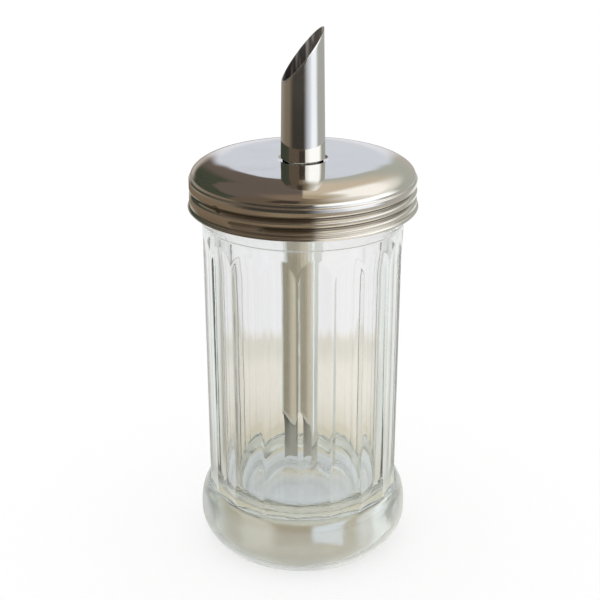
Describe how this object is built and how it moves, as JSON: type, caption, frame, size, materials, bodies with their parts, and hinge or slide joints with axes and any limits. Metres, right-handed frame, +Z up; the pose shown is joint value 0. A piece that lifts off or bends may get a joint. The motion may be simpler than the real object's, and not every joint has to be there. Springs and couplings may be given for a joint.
{
  "type": "sugar dispenser",
  "caption": "Panelled glass sugar jar with a threaded stainless lid and a slant-cut pour tube that reaches down into the jar.",
  "frame": {"origin": "centre of the jar's foot, on the surface that it stands on", "axes": "+Z up along the axis of the jar and its thread; the pour tube's mouth opens towards -X, and -Y is the side that the picture shows"},
  "size_m": [0.076, 0.076, 0.1805],
  "materials": {
    "clear_glass": "clear pressed soda-lime glass with a faint green edge tint",
    "soft_liner": "soft white moulded plastic",
    "polished_steel": "polished stainless sheet with fine spinning marks",
    "drawn_steel": "drawn stainless tube, lightly polished along its length",
    "ring_steel": "plain pressed spring steel"
  },
  "bodies": {
    "jar": {"glass_jar": "clear_glass"},
    "liner": {"lid_liner": "soft_liner"},
    "tube_ring": {"tube_retaining_ring": "ring_steel"},
    "lid": {"lid_shell": "polished_steel", "pour_tube": "drawn_steel"}
  },
  "joints": [
    {"name": "lid_off", "type": "slide", "parent": "jar", "child": "liner", "axis": [0, 0, 1], "range_m": [0, 0.12]},
    {"name": "lid_rise", "type": "slide", "parent": "liner", "child": "tube_ring", "axis": [0, 0, 1], "range_m": [0, 0.004]},
    {"name": "lid_turn", "type": "hinge", "parent": "tube_ring", "child": "lid", "pos_m": [0, 0, 0.13], "axis": [0, 0, 1], "range_deg": [0, 440]}
  ],
  "couplings": [
    {"joint": "lid_rise", "follows": "lid_turn", "m_per_rad": 0.0005093}
  ]
}
